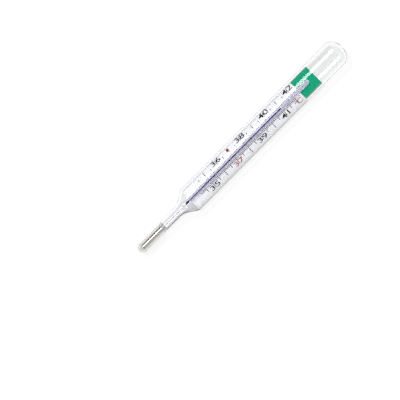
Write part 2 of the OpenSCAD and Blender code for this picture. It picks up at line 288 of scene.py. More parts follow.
def name_piece(name):
    """Names the object that was just added, and its mesh."""
    piece = bpy.context.object
    piece.name = piece.data.name = name
    return piece


def pick(*pieces):
    """Selects these pieces alone, and makes the first of them active."""
    bpy.ops.object.select_all(action="DESELECT")
    for piece in pieces:
        piece.select_set(True)
    if pieces:
        bpy.context.view_layer.objects.active = pieces[0]


def edit_all():
    """Goes into edit mode and selects the whole mesh."""
    bpy.ops.object.mode_set(mode="EDIT")
    bpy.ops.mesh.select_all(action="SELECT")


def draw_profile(name, points):
    """Draws a line through the points, vertex by vertex, and leaves it selected in edit mode."""
    pick()
    bpy.ops.mesh.primitive_plane_add(size=MM)
    piece = name_piece(name)
    edit_all()
    bpy.ops.mesh.select_mode(type="VERT")
    bpy.ops.mesh.merge(type="CENTER")
    bpy.ops.transform.translate(value=points[0])
    for here, there in zip(points, points[1:]):
        bpy.ops.mesh.extrude_vertices_move(TRANSFORM_OT_translate={"value": there - here})
    edit_all()
    return piece


def close_mesh():
    """Merges the doubles of the mesh in edit mode, turns its faces outwards and leaves edit mode."""
    edit_all()
    bpy.ops.mesh.remove_doubles(threshold=MERGE_DISTANCE)
    bpy.ops.mesh.normals_make_consistent(inside=False)
    bpy.ops.object.mode_set(mode="OBJECT")


def extrude_outline(name, outline, depth):
    """Fills a closed outline, extrudes it by a depth, and leaves the mesh in edit mode."""
    piece = draw_profile(name, [*outline, outline[0]])
    bpy.ops.mesh.remove_doubles(threshold=MERGE_DISTANCE)
    bpy.ops.mesh.edge_face_add()
    bpy.ops.mesh.extrude_region_move(TRANSFORM_OT_translate={"value": depth})
    edit_all()
    bpy.ops.mesh.normals_make_consistent(inside=False)
    return piece


def cut_flat(height):
    """Cuts off what is below a height from the mesh in edit mode, and fills the cut."""
    edit_all()
    bpy.ops.mesh.bisect(
        plane_co=(0, 0, height), plane_no=(0, 0, 1), clear_inner=True, use_fill=True, threshold=CUT_TOLERANCE
    )


def lathe(name, profile, steps=LATHE_STEPS):
    """Spins a profile of (x, radius) points about the bore's axis, and leaves the mesh in edit mode."""
    piece = draw_profile(name, [Vector((x, 0, AXIS + radius)) for x, radius in profile])
    bpy.ops.mesh.spin(steps=steps, angle=tau, center=(0, 0, AXIS), axis=(1, 0, 0))
    return piece


def even_steps(end, count):
    """Values from 0 to an end in this many even steps."""
    return [end * i / count for i in range(count + 1)]


def quarter_arc(x_end, radius, reach):
    """Points of a quarter ellipse from the axis at x_end out to the radius, reach further along."""
    angles = even_steps(pi / 2, ARC_STEPS)
    return [(x_end + reach * (1 - cos(a)), radius * sin(a)) for a in angles]


def half_turn():
    """Angles of half a turn."""
    return even_steps(pi, 2 * ARC_STEPS)


def smooth(piece):
    """Shades the piece smooth, apart from its sharp edges."""
    pick(piece)
    bpy.ops.object.shade_smooth_by_angle(angle=SMOOTH_ANGLE)


def add_block(name, low, high):
    """Adds a block between two corners and leaves it in edit mode."""
    pick()
    bpy.ops.mesh.primitive_cube_add(size=1)
    piece = name_piece(name)
    edit_all()
    bpy.ops.transform.resize(value=high - low)
    bpy.ops.transform.translate(value=(low + high) / 2)
    return piece


def select_edges(piece, wanted):
    """Selects the edges for which wanted(start, end) holds, in edit mode."""
    bpy.ops.mesh.select_all(action="DESELECT")
    bpy.ops.mesh.select_mode(type="EDGE")
    mesh = bmesh.from_edit_mesh(piece.data)
    for edge in mesh.edges:
        edge.select_set(wanted(edge.verts[0].co, edge.verts[1].co))
    bmesh.update_edit_mesh(piece.data)


def bevel_all(offset, segments=2):
    """Rounds every edge of the mesh in edit mode and leaves edit mode."""
    edit_all()
    bpy.ops.mesh.bevel(offset=offset, segments=segments, affect="EDGES")
    bpy.ops.object.mode_set(mode="OBJECT")


def add_modifier(piece, kind, **settings):
    """Adds a modifier with these settings and applies it."""
    pick(piece)
    modifier = piece.modifiers.new(kind.lower(), kind)
    for setting, value in settings.items():
        setattr(modifier, setting, value)
    bpy.ops.object.modifier_apply(modifier=modifier.name)


def join(name, pieces):
    """Joins the pieces into one object."""
    pick(*pieces)
    bpy.ops.object.join()
    return name_piece(name)


def dress(piece, material, body=BODY, nodes=()):
    """Gives a piece its material and its place in the frame."""
    piece.data.materials.clear()
    piece.data.materials.append(material)
    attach(piece, body)
    if nodes:
        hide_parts(*nodes)


def complete(piece, material, body=BODY, nodes=()):
    """Closes the mesh in edit mode, shades it smooth and dresses it."""
    close_mesh()
    smooth(piece)
    dress(piece, material, body, nodes)


# Shader helpers and the effects that several materials share


def add_node(tree, kind, **values):
    """Adds a node and sets its inputs and settings by name."""
    node = tree.nodes.new(kind)
    for name, value in values.items():
        if name in node.inputs:
            node.inputs[name].default_value = value
        else:
            setattr(node, name, value)
    return node


def wire(tree, *links):
    """Makes links, each given as a node, its output, the next node and that one's input."""
    for source, output, target, socket in links:
        tree.links.new(source.outputs[output], target.inputs[socket])


def soft_range(tree, low, high, start=0.0, end=1.0):
    """Adds a node that goes softly from start to end while its value goes from low to high."""
    limits = {"From Min": low, "From Max": high, "To Min": start, "To Max": end}
    return add_node(tree, "ShaderNodeMapRange", interpolation_type="SMOOTHSTEP", **limits)


def new_group(name, inputs, outputs):
    """A shader node group with float sockets of these names, and its input and output nodes."""
    group = bpy.data.node_groups.new(name, "ShaderNodeTree")
    for socket, default in inputs.items():
        made = group.interface.new_socket(socket, in_out="INPUT", socket_type="NodeSocketFloat")
        made.default_value = default
    for socket in outputs:
        group.interface.new_socket(socket, in_out="OUTPUT", socket_type="NodeSocketFloat")
    return group, group.nodes.new("NodeGroupInput"), group.nodes.new("NodeGroupOutput")


def striae_group():
    """Fine waves drawn out along the glass, as a height."""
    found = bpy.data.node_groups.get("Drawn striae")
    if found:
        return found
    group, given, result = new_group("Drawn striae", {"Scale": 300.0, "Stretch": 0.02}, ["Height"])
    where = group.nodes.new("ShaderNodeTexCoord")
    squeeze = add_node(group, "ShaderNodeCombineXYZ", Y=1.0, Z=1.0)
    drawn = add_node(group, "ShaderNodeVectorMath", operation="MULTIPLY")
    waves = add_node(group, "ShaderNodeTexNoise", Detail=2.0, Roughness=0.4)
    wire(
        group,
        (given, "Stretch", squeeze, "X"),
        (where, "Object", drawn, 0),
        (squeeze, "Vector", drawn, 1),
        (drawn, "Vector", waves, "Vector"),
        (given, "Scale", waves, "Scale"),
        (waves, "Fac", result, "Height"),
    )
    return group


def mottle_group():
    """Soft uneven patches and fine grain over a surface, each as a value from 0 to 1."""
    found = bpy.data.node_groups.get("Mottle")
    if found:
        return found
    group, given, result = new_group("Mottle", {"Patch": 400.0, "Grain": 6000.0}, ["Patches", "Grain"])
    where = group.nodes.new("ShaderNodeTexCoord")
    for socket, output, detail in (("Patch", "Patches", 3.0), ("Grain", "Grain", 1.0)):
        noise = add_node(group, "ShaderNodeTexNoise", Detail=detail, Roughness=0.55)
        spread = add_node(group, "ShaderNodeMapRange", **{"From Min": 0.3, "From Max": 0.7})
        wire(
            group,
            (where, "Object", noise, "Vector"),
            (given, socket, noise, "Scale"),
            (noise, "Fac", spread, "Value"),
            (spread, "Result", result, output),
        )
    return group


def new_material(name):
    """A material with an empty node tree and its output node."""
    material = bpy.data.materials.new(name)
    material.use_nodes = True
    tree = material.node_tree
    tree.nodes.clear()
    return material, tree, tree.nodes.new("ShaderNodeOutputMaterial")


def glass(name, tint, shade, rim_shade, scale, gleam=1.0):
    """Clear drawn glass with faint striae, whose shadow is pale in the middle and darker at its rims."""
    material, tree, result = new_material(name)
    body = add_node(
        tree, "ShaderNodeBsdfPrincipled",
        **{"Base Color": tint, "Roughness": 0.0, "IOR": GLASS_IOR, "Transmission Weight": 1.0},
        **{"Specular Tint": (gleam, gleam, gleam, 1.0)},
    )
    striae = add_node(tree, "ShaderNodeGroup", node_tree=striae_group(), Scale=scale)
    bump = add_node(tree, "ShaderNodeBump", Strength=1.0, Distance=RIPPLE)
    slant = add_node(tree, "ShaderNodeLayerWeight", Blend=0.5)
    rim = soft_range(tree, RIM_START, RIM_FULL)
    dim = add_node(tree, "ShaderNodeMix", data_type="RGBA", A=shade, B=rim_shade)
    clear = tree.nodes.new("ShaderNodeBsdfTransparent")
    path = tree.nodes.new("ShaderNodeLightPath")
    soft = tree.nodes.new("ShaderNodeMixShader")
    lamp = tree.nodes.new("ShaderNodeMixShader")
    wire(
        tree,
        (striae, "Height", bump, "Height"),
        (bump, "Normal", body, "Normal"),
        (slant, "Facing", rim, "Value"),
        (rim, "Result", dim, "Factor"),
        (dim, "Result", clear, "Color"),
        (path, "Is Diffuse Ray", soft, 0),
        (body, "BSDF", soft, 1),
        (clear, "BSDF", soft, 2),
        (path, "Is Shadow Ray", lamp, 0),
        (soft, "Shader", lamp, 1),
        (clear, "BSDF", lamp, 2),
        (lamp, "Shader", result, "Surface"),
    )
    return material


def surface(name, tint, dark, roughness, patch, grain, metallic=0.0, relief=0.0, specular=0.12):
    """A surface whose colour drifts between a tint and a darker one in patches, with grain in its gloss."""
    material, tree, result = new_material(name)
    body = add_node(
        tree, "ShaderNodeBsdfPrincipled", **{"Metallic": metallic, "Specular IOR Level": specular}
    )
    mottle = add_node(tree, "ShaderNodeGroup", node_tree=mottle_group(), Patch=patch, Grain=grain)
    darker = (*[channel * dark for channel in tint[:3]], 1.0)
    blend = add_node(tree, "ShaderNodeMix", data_type="RGBA", A=tint, B=darker)
    rough = {"To Min": roughness * SMOOTHER, "To Max": min(1.0, roughness * ROUGHER)}
    gloss = add_node(tree, "ShaderNodeMapRange", **rough)
    wire(
        tree,
        (mottle, "Patches", blend, "Factor"),
        (blend, "Result", body, "Base Color"),
        (mottle, "Grain", gloss, "Value"),
        (gloss, "Result", body, "Roughness"),
        (body, "BSDF", result, "Surface"),
    )
    if relief:
        bump = add_node(tree, "ShaderNodeBump", Strength=1.0, Distance=relief)
        wire(tree, (mottle, "Grain", bump, "Height"), (bump, "Normal", body, "Normal"))
    return material


# The sheath


def shoulder_ring(sizes, share, neck_inset, body_inset):
    """Section of the sheath at a share of the shoulder's length, drawn in by the given walls."""
    late = share ** sizes.shoulder_bias
    opening = late * late * (3 - 2 * late)
    inset = neck_inset + (body_inset - neck_inset) * opening
    half_depth = SHEATH_HIGH.z - AXIS
    return Ring(
        SHEATH_LOW.x + sizes.neck_length + share * sizes.shoulder_length,
        sizes.neck_radius + (SHEATH_HIGH.y - sizes.neck_radius) * opening - inset,
        sizes.neck_radius + (half_depth - sizes.neck_radius) * opening - inset,
        ELLIPSE + (sizes.squareness - ELLIPSE) * opening,
        ELLIPSE + (sizes.back_squareness - ELLIPSE) * opening,
    )


def wall_rings(sizes, neck_inset, body_inset, reach):
    """Sections of one wall of the sheath, from the neck's end to just below the dome's tip."""
    radius = sizes.neck_radius - neck_inset
    x_dome = SHEATH_HIGH.x - sizes.dome_length
    shares = even_steps(1, SHOULDER_STEPS)
    shoulder = [shoulder_ring(sizes, share, neck_inset, body_inset) for share in shares]
    full = shoulder[-1]
    dome = [
        full._replace(
            x=x_dome + reach * sin(a),
            half_width=full.half_width * cos(a),
            half_depth=full.half_depth * cos(a),
        )
        for a in even_steps(pi / 2, DOME_STEPS)[:-1]
    ]
    return [Ring(SHEATH_LOW.x, radius, radius, ELLIPSE, ELLIPSE), *shoulder, *dome]


def move_ring(piece, before, after):
    """Moves the selected ring of vertices from one oval section to the next."""
    mesh = bmesh.from_edit_mesh(piece.data)
    for vertex in mesh.verts:
        if vertex.select:
            y = vertex.co.y / before.half_width
            z = (vertex.co.z - AXIS) / before.half_depth
            bend = before.front / after.front if z > 0 else before.back / after.back
            vertex.co.x = after.x
            vertex.co.y = copysign(abs(y) ** bend, y) * after.half_width
            vertex.co.z = copysign(abs(z) ** bend, z) * after.half_depth + AXIS
    bmesh.update_edit_mesh(piece.data)


def extrude_rings(piece, first, rings, x_tip):
    """Extrudes the selected ring through the given sections and closes it in a point at x_tip."""
    here = first
    for ring in rings:
        bpy.ops.mesh.extrude_edges_move()
        move_ring(piece, here, ring)
        here = ring
    bpy.ops.mesh.extrude_edges_move()
    bpy.ops.mesh.merge(type="CENTER")
    bpy.ops.transform.translate(value=(x_tip - here.x, 0, 0))


class THERMOMETER_OT_sheath(bpy.types.Operator):
    """Blow the clear sheath: round neck, flared shoulder, flattened body and domed end"""

    bl_idname = "thermometer.sheath"
    bl_label = "Sheath"

    def execute(self, context):
        sizes, finish = context.scene.thermometer_glass, context.scene.thermometer_finish
        outside = wall_rings(sizes, 0, 0, sizes.dome_length)
        inside = wall_rings(sizes, sizes.neck_wall, sizes.sheath_wall, sizes.dome_length - sizes.dome_wall)
        pick()
        bpy.ops.mesh.primitive_circle_add(vertices=SHEATH_POINTS, radius=outside[0].half_width)
        piece = name_piece("sheath_shell")
        edit_all()
        bpy.ops.transform.rotate(value=pi / 2, orient_axis="Y", center_override=(0, 0, 0))
        bpy.ops.transform.translate(value=(SHEATH_LOW.x, 0, AXIS))
        extrude_rings(piece, outside[0], outside[1:], SHEATH_HIGH.x)
        bpy.ops.mesh.select_all(action="DESELECT")
        bpy.ops.mesh.select_non_manifold(use_multi_face=False, use_non_contiguous=False, use_verts=False)
        extrude_rings(piece, outside[0], inside, SHEATH_HIGH.x - sizes.dome_wall)
        cut_flat(SHEATH_LOW.z)
        shade, rim_shade = (0.975, 0.976, 0.98, 1), (0.5, 0.5, 0.51, 1)
        material = glass("clear_sheath", finish.sheath, shade, rim_shade, scale=350.0)
        complete(piece, material, nodes=["outer_sheath"])
        return {"FINISHED"}


class THERMOMETER_OT_bulb(bpy.types.Operator):
    """Draw the bulb with its fused collar, and the liquid metal that fills it and the stem"""

    bl_idname = "thermometer.bulb"
    bl_label = "Bulb"

    def execute(self, context):
        sizes, finish = context.scene.thermometer_glass, context.scene.thermometer_finish
        radius = sizes.bulb_radius
        inner = radius - sizes.bulb_wall
        mouth = STEM_HIGH.y
        x_collar = BULB_HIGH.x - sizes.collar_length
        bead = BULB_HIGH.y - radius
        collar = [
            (x_collar + sizes.collar_length * (1 - cos(a)) / 2, radius + bead * sin(a))
            for a in half_turn()
        ]
        hollow = quarter_arc(BULB_LOW.x + sizes.bulb_tip_wall, inner, sizes.bulb_tip)
        profile = [
            *quarter_arc(BULB_LOW.x, radius, sizes.bulb_tip), *collar,
            (BULB_HIGH.x, mouth), (STEM_LOW.x, mouth), (STEM_LOW.x, inner), *reversed(hollow),
        ]
        shell = lathe("bulb_shell", profile)
        shade, rim_shade = (0.95, 0.95, 0.95, 1), (0.6, 0.6, 0.6, 1)
        material = glass("clear_bulb", finish.bulb, shade, rim_shade, scale=500.0)
        complete(shell, material, nodes=["bulb_glass"])

        wet = inner + sizes.contact
        thread = sizes.stem_bore + sizes.contact
        x_tip = BULB_LOW.x + sizes.bulb_tip_wall - sizes.contact
        profile = [
            *quarter_arc(x_tip, wet, sizes.bulb_tip),
            (STEM_LOW.x - sizes.contact, wet), (STEM_LOW.x - sizes.contact, thread),
            (LIQUID_HIGH.x, thread), (LIQUID_HIGH.x, 0),
        ]
        fill = lathe("bulb_fill", profile)
        metal = surface(
            "bright_liquid", finish.liquid, dark=0.9, roughness=0.12, metallic=1.0, patch=700.0, grain=9000.0
        )
        complete(fill, metal, nodes=["bulb_liquid"])
        return {"FINISHED"}


def chamber_middle(sizes):
    """Middle of the swelling in the stem's bore."""
    return STEM_HIGH.x - sizes.chamber_neck - sizes.chamber_length / 2


def chamber_wall(sizes):
    """Wall of the swelling in the stem's bore, from its top down."""
    half, swell = sizes.chamber_length / 2, sizes.chamber_radius - sizes.stem_bore
    middle = chamber_middle(sizes)
    return [(middle + half * cos(a), sizes.stem_bore + swell * sin(a)) for a in half_turn()]


def pin_side(sizes):
    """Side of the glass pin, from its tip down to the end of its tail."""
    middle, tail = chamber_middle(sizes), sizes.stem_bore - sizes.contact
    half = PIN_HIGH.x - middle
    head = [(middle + half * cos(a), max(tail, PIN_HIGH.y * sin(a))) for a in half_turn()[1:]]
    return [*head, (PIN_LOW.x, tail)]


class THERMOMETER_OT_stem(bpy.types.Operator):
    """Draw the stem with the swelling in its bore, and the glass pin that stands in it"""

    bl_idname = "thermometer.stem"
    bl_label = "Stem"

    def execute(self, context):
        sizes, finish = context.scene.thermometer_glass, context.scene.thermometer_finish
        shade, rim_shade = (0.93, 0.925, 0.95, 1), (0.35, 0.35, 0.38, 1)
        material = glass("drawn_capillary", finish.capillary, shade, rim_shade, scale=900.0, gleam=0.1)
        foot = (STEM_LOW.x, sizes.stem_bore)
        profile = [
            foot, (STEM_LOW.x, STEM_HIGH.y), (STEM_HIGH.x - sizes.stem_taper, STEM_HIGH.y),
            (STEM_HIGH.x, TUBE_HIGH.y), (STEM_HIGH.x, sizes.stem_bore), *chamber_wall(sizes), foot,
        ]
        stem = lathe("stem_rod", profile)
        complete(stem, material, nodes=["stem_tube"])

        profile = [(PIN_HIGH.x, 0), *pin_side(sizes), (PIN_LOW.x, 0)]
        pin = lathe("contraction_spindle", profile, steps=THREAD_STEPS)
        complete(pin, material, nodes=["contraction_pin"])
        return {"FINISHED"}


class THERMOMETER_OT_capillary(bpy.types.Operator):
    """Draw the lens-front capillary with its bore, and the tinted strip behind it"""

    bl_idname = "thermometer.capillary"
    bl_label = "Capillary"

    def execute(self, context):
        sizes, finish = context.scene.thermometer_glass, context.scene.thermometer_finish
        radius = TUBE_HIGH.y
        x_bore = TUBE_HIGH.x - sizes.bore_end_wall
        crown = quarter_arc(0, radius, sizes.capillary_tip)
        profile = [
            *[(TUBE_HIGH.x - x, r) for x, r in crown],
            (TUBE_LOW.x, radius), (TUBE_LOW.x, sizes.bore), (x_bore, sizes.bore), (x_bore, 0),
        ]
        tube = lathe("capillary_lens", profile)
        edit_all()
        bpy.ops.mesh.remove_doubles(threshold=MERGE_DISTANCE)
        cut_flat(TUBE_LOW.z)
        complete(tube, bpy.data.materials["drawn_capillary"], nodes=["capillary_tube"])

        half_width, low = STRIP_HIGH.y, STRIP_LOW.z
        x_side = TUBE_HIGH.x - sizes.capillary_tip
        side_radius = hypot(AXIS - TUBE_LOW.z, half_width)
        x_side += sizes.capillary_tip * sqrt(1 - (side_radius / radius) ** 2)
        outline = [
            (STRIP_LOW.x, -half_width), (x_side, -half_width), (STRIP_HIGH.x, 0), (x_side, half_width),
            (STRIP_LOW.x, half_width),
        ]
        thickness = Vector((0, 0, STRIP_HIGH.z - low))
        strip = extrude_outline("enamel_strip", [Vector((x, y, low)) for x, y in outline], thickness)
        bevel_all(thickness.z * STRIP_ROUND, segments=3)
        smooth(strip)
        enamel = surface("violet_enamel", finish.strip, dark=0.93, roughness=0.35, patch=900.0, grain=7000.0)
        dress(strip, enamel, nodes=["tinted_strip"])
        return {"FINISHED"}


class THERMOMETER_OT_thread(bpy.types.Operator):
    """Fill the swelling and the bore with the liquid thread, whose length follows the reading"""

    bl_idname = "thermometer.thread"
    bl_label = "Thread"

    def execute(self, context):
        sizes, finish = context.scene.thermometer_glass, context.scene.thermometer_finish
        # Painted shade: the thread gets a matt dark violet with no gloss in place of a metal finish, standing
        # for the dark that the liquid metal mirrors through the lens
        metal = surface(
            "thread_painted_dark", finish.thread, dark=0.75, roughness=0.5, patch=900.0, grain=9000.0, specular=0.0
        )
        foot, top = Vector((COLUMN_LOW.x, 0, AXIS)), Vector((TIP_LOW.x, 0, AXIS))
        radius = sizes.bore + sizes.contact
        lengths = (
            ("thread_lower", BODY, foot, radius),
            ("thread_upper", HEAD, top, radius - sizes.contact / 2),
        )
        for name, body, anchor, size in lengths:
            piece = lathe(name, [(foot.x, 0), (foot.x, size), (top.x, size), (top.x, 0)], steps=THREAD_STEPS)
            complete(piece, metal, body, nodes=["liquid_column"] if body == BODY else [])
            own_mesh(piece)
            piece.visible_shadow = False
        meniscus = [(TIP_HIGH.x - x, r) for x, r in quarter_arc(0, radius, radius)]
        tip = lathe("thread_tip", [*meniscus, (top.x, radius), (top.x, 0)], steps=THREAD_STEPS)
        complete(tip, metal, HEAD, nodes=["column_head"])
        tip.visible_shadow = False

        wall = [(x, r + sizes.contact) for x, r in reversed(chamber_wall(sizes))]
        x_foot, wet = wall[0]
        side = [(x - sizes.contact, r - sizes.contact) for x, r in pin_side(sizes) if x > x_foot]
        x_top = STEM_HIGH.x + sizes.contact
        profile = [
            (PIN_HIGH.x - sizes.contact, 0), *side, (x_foot, side[-1][1]), *wall, (x_top, wet), (x_top, 0)
        ]
        # The swelling's fill takes the same painted dark colour as the thread
        pool = lathe("chamber_fill", profile, steps=THREAD_STEPS)
        complete(pool, metal)
        return {"FINISHED"}


class THERMOMETER_OT_plate(bpy.types.Operator):
    """Cut the white scale plate, with its cut-off lower corners and softened edges"""

    bl_idname = "thermometer.plate"
    bl_label = "Scale plate"

    def execute(self, context):
        sizes, finish = context.scene.thermometer_scale, context.scene.thermometer_finish
        plate = add_block("scale_leaf", PLATE_LOW, PLATE_HIGH)
        near_foot = PLATE_LOW.x + sizes.corner / 2
        select_edges(plate, lambda a, b: max(a.x, b.x) < near_foot and abs(a.y - b.y) < MERGE_DISTANCE)
        bpy.ops.mesh.bevel(offset=sizes.corner, segments=1, affect="EDGES")
        bevel_all(sizes.plate_edge)
        smooth(plate)
        white = surface(
            "printed_white", finish.plate, dark=0.97, roughness=0.45, patch=250.0, grain=5000.0, relief=2e-6
        )
        dress(plate, white, nodes=["scale_plate"])
        return {"FINISHED"}


def ink(name, tint, dark):
    """Printed ink with fine patches."""
    return surface(name, tint, dark, roughness=0.5, patch=3000.0, grain=9000.0)


def print_height(sizes):
    """Lowest and highest level of the print on the plate."""
    return PLATE_HIGH.z - sizes.ink_root, PLATE_HIGH.z + sizes.ink


def reading_place(sizes, reading):
    """Place of a reading along the scale."""
    return PLATE_LOW.x + sizes.foot_margin + (reading - sizes.lowest) * sizes.degree


def print_bar(name, sizes, x, width, y_low, y_high):
    """A printed bar with softened edges, at a place along the scale and between two places across it."""
    low, high = print_height(sizes)
    half = width / 2
    bar = add_block(name, Vector((x - half, y_low, low)), Vector((x + half, y_high, high)))
    bevel_all(sizes.ink / 2, segments=1)
    return bar


def line_set(name, sizes, x_first, width, reach, arrays):
    """One set of like lines: a bar that is copied along the scale and mirrored across it."""
    bar = print_bar(name, sizes, x_first, width, sizes.line_start, sizes.line_start + reach)
    for count, pitch in arrays:
        add_modifier(
            bar, "ARRAY", count=count, use_relative_offset=False, use_constant_offset=True,
            constant_offset_displace=(pitch, 0, 0),
        )
    add_modifier(bar, "MIRROR", use_axis=(False, True, False))
    smooth(bar)
    return bar


class THERMOMETER_OT_lines(bpy.types.Operator):
    """Print the tenth, half and whole degree lines on both sides of the thread"""

    bl_idname = "thermometer.lines"
    bl_label = "Graduation lines"

    def execute(self, context):
        sizes, finish = context.scene.thermometer_scale, context.scene.thermometer_finish
        black = ink("black_ink", finish.black_ink, dark=0.7)
        x_first = reading_place(sizes, sizes.lowest)
        tenth = sizes.degree / 10
        halves = round((sizes.highest - sizes.lowest) * 2)
        degrees = halves // 2
        thin, thick = sizes.line_width, sizes.main_width
        x_half, x_whole = x_first + LINE_RUN * tenth, x_first + (2 * LINE_RUN + 1) * tenth
        sets = (
            ("tenth_lines", x_first, thin, sizes.tenth, [(LINE_RUN, tenth), (halves, sizes.degree / 2)]),
            ("half_lines", x_half, thick, sizes.half, [(degrees, sizes.degree)]),
            ("whole_lines", x_whole, thick, sizes.whole, [(degrees, sizes.degree)]),
        )
        for name, x_start, width, reach, arrays in sets:
            dress(line_set(name, sizes, x_start, width, reach, arrays), black)

        x_setting = reading_place(sizes, sizes.setting)
        y_low, y_high = PLATE_LOW.y + sizes.plate_edge, -sizes.line_start - sizes.whole
        mark = print_bar("setting_mark", sizes, x_setting, thick, y_low, y_high)
        smooth(mark)
        dress(mark, black)
        return {"FINISHED"}


def figure(character, sizes, x, y, size=1.0, widen=1.0):
    """One printed figure, centred on a place on the plate."""
    low, high = print_height(sizes)
    pick()
    bpy.ops.object.text_add()
    piece = bpy.context.object
    piece.data.body = character
    piece.data.extrude = (high - low) / 2
    piece.data.offset = sizes.figure_weight
    piece.data.resolution_u = TEXT_STEPS
    bpy.ops.object.convert(target="MESH")
    piece = bpy.context.object
    edit_all()
    corners = [vertex.co for vertex in bmesh.from_edit_mesh(piece.data).verts]
    lowest = Vector([min(c[i] for c in corners) for i in range(3)])
    highest = Vector([max(c[i] for c in corners) for i in range(3)])
    scale = sizes.figure_height * size / (highest.y - lowest.y)
    bpy.ops.transform.translate(value=-(lowest + highest) / 2)
    bpy.ops.transform.resize(value=(scale * sizes.figure_width * widen, scale, 1))
    bpy.ops.transform.translate(value=(x, y, (low + high) / 2))
    close_mesh()
    return piece


class THERMOMETER_OT_figures(bpy.types.Operator):
    """Print the figures of the whole degrees, the unit and the red drop at normal body temperature"""

    bl_idname = "thermometer.figures"
    bl_label = "Figures"

    def execute(self, context):
        sizes, finish = context.scene.thermometer_scale, context.scene.thermometer_finish
        red = ink("red_ink", finish.red_ink, dark=0.8)
        crimson = ink("drop_ink", finish.drop, dark=0.8)
        black_pieces, red_pieces = [], []
        for reading in range(ceil(sizes.lowest), int(sizes.highest) + 1):
            x = reading_place(sizes, reading)
            y = sizes.even_row if reading % 2 == 0 else -sizes.odd_row
            kept = red_pieces if reading == NORMAL else black_pieces
            for side, character in zip((-1, 1), str(reading)):
                kept.append(figure(character, sizes, x + side * sizes.figure_spread, y))
        x_unit = reading_place(sizes, sizes.highest)
        x_sign, y_sign = x_unit - sizes.figure_spread * SIGN_SHIFT, -sizes.odd_row * SIGN_ROW
        red_pieces.append(figure("\N{DEGREE SIGN}", sizes, x_sign, y_sign, SIGN_SIZE))
        x_letter = x_unit + sizes.figure_spread * LETTER_SHIFT
        red_pieces.append(figure("C", sizes, x_letter, -sizes.odd_row, widen=LETTER_WIDTH))
        dress(join("black_figures", black_pieces), bpy.data.materials["black_ink"])
        dress(join("red_figures", red_pieces), red)

        low, high = print_height(sizes)
        x_drop = reading_place(sizes, NORMAL)
        radius = sizes.drop_height * DROP_ROUND
        y_round = sizes.even_row - sizes.drop_height / 2 + radius
        y_point = sizes.even_row + sizes.drop_height / 2
        tangent = acos(radius / (y_point - y_round))
        sweep = tau - 2 * tangent
        turns = [pi / 2 - tangent - turn for turn in even_steps(sweep, 2 * ARC_STEPS)]
        middle = Vector((x_drop, y_round, low))
        outline = [Vector((x_drop, y_point, low))]
        outline += [middle + Vector((radius * cos(a), radius * sin(a), 0)) for a in turns]
        drop = extrude_outline("fever_drop", outline, Vector((0, 0, high - low)))
        close_mesh()
        dress(drop, crimson)
        return {"FINISHED"}


class THERMOMETER_OT_band(bpy.types.Operator):
    """Fold the green band over the top end of the plate"""

    bl_idname = "thermometer.band"
    bl_label = "Green band"

    def execute(self, context):
        sizes, finish = context.scene.thermometer_scale, context.scene.thermometer_finish
        sheet = sizes.band_sheet
        x_low, x_high, back, front = BAND_LOW.x, BAND_HIGH.x, BAND_LOW.z, BAND_HIGH.z
        outline = [
            (x_low, front), (x_high, front), (x_high, back), (x_low, back), (x_low, back + sheet),
            (x_high - sheet, back + sheet), (x_high - sheet, front - sheet), (x_low, front - sheet),
        ]
        width = Vector((0, BAND_HIGH.y - BAND_LOW.y, 0))
        band = extrude_outline("band_fold", [Vector((x, BAND_LOW.y, z)) for x, z in outline], width)
        fold = BAND_HIGH.x - MERGE_DISTANCE
        select_edges(band, lambda a, b: a.x > fold and b.x > fold and abs(a.z - b.z) < MERGE_DISTANCE)
        bpy.ops.mesh.bevel(offset=sizes.band_fold, segments=FOLD_STEPS, affect="EDGES")
        green = surface(
            "green_sheet", finish.band, dark=0.93, roughness=0.5, patch=500.0, grain=6000.0, relief=2e-6
        )
        complete(band, green, nodes=["green_band"])
        return {"FINISHED"}


def floor_material(finish, stage):
    """Pale floor: a plain white for what sees it as the background, with a share left to lamps and shadow."""
    material, tree, result = new_material("floor_white")
    matt = add_node(tree, "ShaderNodeBsdfDiffuse", Color=finish.floor)
    glow = add_node(tree, "ShaderNodeEmission", Strength=1.0)
    path = tree.nodes.new("ShaderNodeLightPath")
    bent = add_node(tree, "ShaderNodeMath", operation="MAXIMUM")
    through = add_node(tree, "ShaderNodeMath", operation="MULTIPLY")
    through.inputs[1].default_value = stage.glass_glow
    straight = add_node(tree, "ShaderNodeMath", operation="MULTIPLY")
    straight.inputs[1].default_value = stage.floor_glow
    share = add_node(tree, "ShaderNodeMath", operation="MAXIMUM")
    mix = tree.nodes.new("ShaderNodeMixShader")
    wire(
        tree,
        (path, "Is Glossy Ray", bent, 0),
        (path, "Is Transmission Ray", bent, 1),
        (bent, "Value", through, 0),
        (path, "Is Camera Ray", straight, 0),
        (straight, "Value", share, 0),
        (through, "Value", share, 1),
        (share, "Value", mix, 0),
        (matt, "BSDF", mix, 1),
        (glow, "Emission", mix, 2),
        (mix, "Shader", result, "Surface"),
    )
    return material


